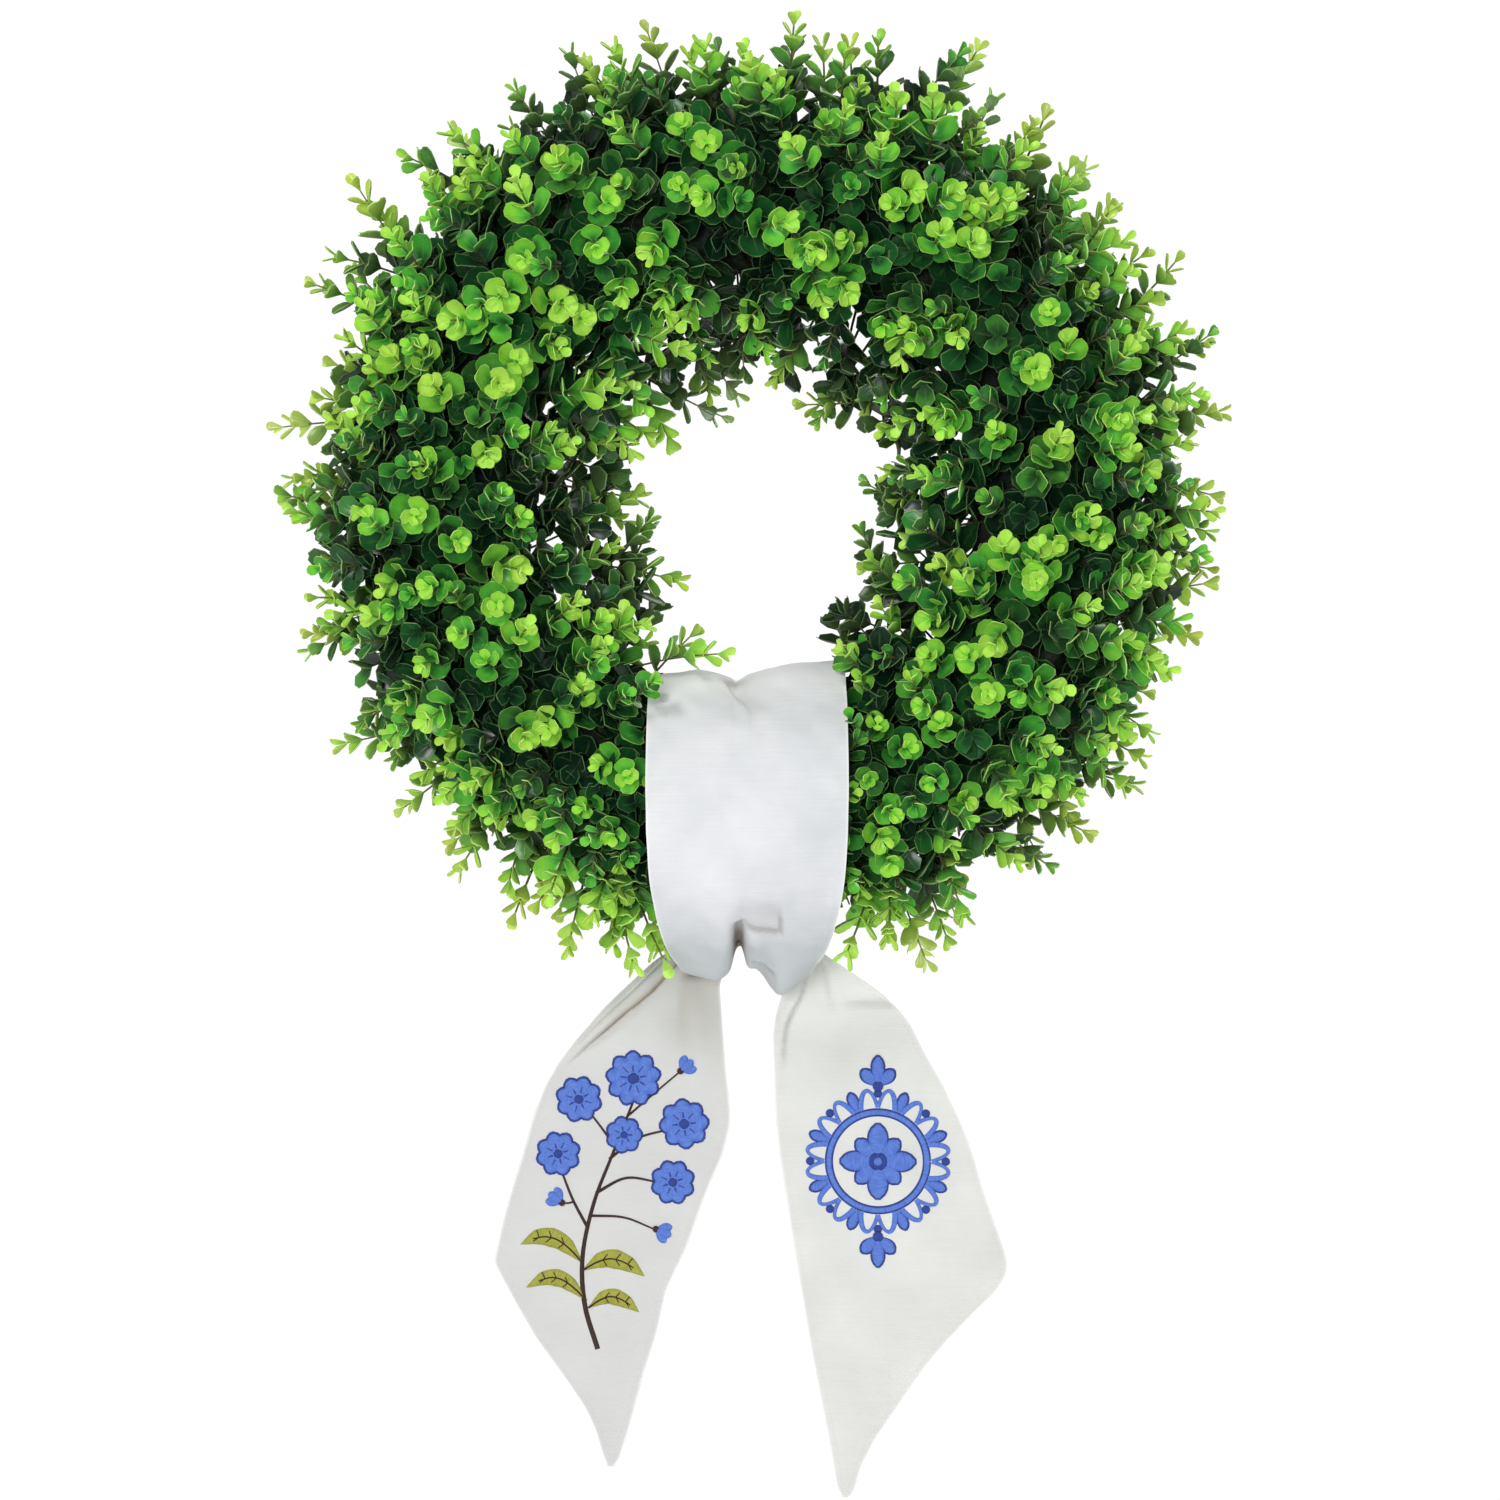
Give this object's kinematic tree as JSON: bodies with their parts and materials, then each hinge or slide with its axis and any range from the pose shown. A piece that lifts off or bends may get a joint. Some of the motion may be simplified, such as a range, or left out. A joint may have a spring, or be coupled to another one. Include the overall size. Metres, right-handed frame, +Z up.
{
  "type": "boxwood door wreath with sash",
  "caption": "Artificial boxwood wreath on a flat-backed hoop, with a pale cloth sash tied round its lower end and two pointed tails.",
  "frame": {"origin": "the hook's seat: the hoop's inner face at its top, at the back edge that lies on the door", "axes": "+X to the viewer's right seen from the front, +Y from the wreath to the door, +Z up; the back lies in the plane y = 0"},
  "size_m": [0.5061, 0.105, 0.7877],
  "materials": {
    "foliage": "satin moulded leaf, dark green below to yellow-green at the tips",
    "hoop": "moulded, dark green",
    "cloth": "off-white slub linen weave"
  },
  "bodies": {
    "root": {"hoop": "hoop", "sash_band": "cloth", "sash_knot": "cloth", "sash_tail_left": "cloth", "sash_tail_right": "cloth", "outer_bunch_01": "foliage", "outer_bunch_02": "foliage", "outer_bunch_03": "foliage", "outer_bunch_04": "foliage", "outer_bunch_05": "foliage", "outer_bunch_06": "foliage", "outer_bunch_07": "foliage", "outer_bunch_08": "foliage", "outer_bunch_09": "foliage", "outer_bunch_10": "foliage", "outer_bunch_11": "foliage", "outer_bunch_12": "foliage", "front_outer_bunch_01": "foliage", "front_outer_bunch_02": "foliage", "front_outer_bunch_03": "foliage", "front_outer_bunch_04": "foliage", "front_outer_bunch_05": "foliage", "front_outer_bunch_06": "foliage", "front_outer_bunch_07": "foliage", "front_outer_bunch_08": "foliage", "front_outer_bunch_09": "foliage", "front_outer_bunch_10": "foliage", "front_outer_bunch_11": "foliage", "front_outer_bunch_12": "foliage", "front_inner_bunch_01": "foliage", "front_inner_bunch_02": "foliage", "front_inner_bunch_03": "foliage", "front_inner_bunch_04": "foliage", "front_inner_bunch_05": "foliage", "front_inner_bunch_06": "foliage", "front_inner_bunch_07": "foliage", "front_inner_bunch_08": "foliage", "front_inner_bunch_09": "foliage", "front_inner_bunch_10": "foliage", "front_inner_bunch_11": "foliage", "front_inner_bunch_12": "foliage", "inner_bunch_01": "foliage", "inner_bunch_02": "foliage", "inner_bunch_03": "foliage", "inner_bunch_04": "foliage", "inner_bunch_05": "foliage", "inner_bunch_06": "foliage", "inner_bunch_07": "foliage", "inner_bunch_08": "foliage", "inner_bunch_09": "foliage", "inner_bunch_10": "foliage", "inner_bunch_11": "foliage", "inner_bunch_12": "foliage"}
  },
  "joints": []
}
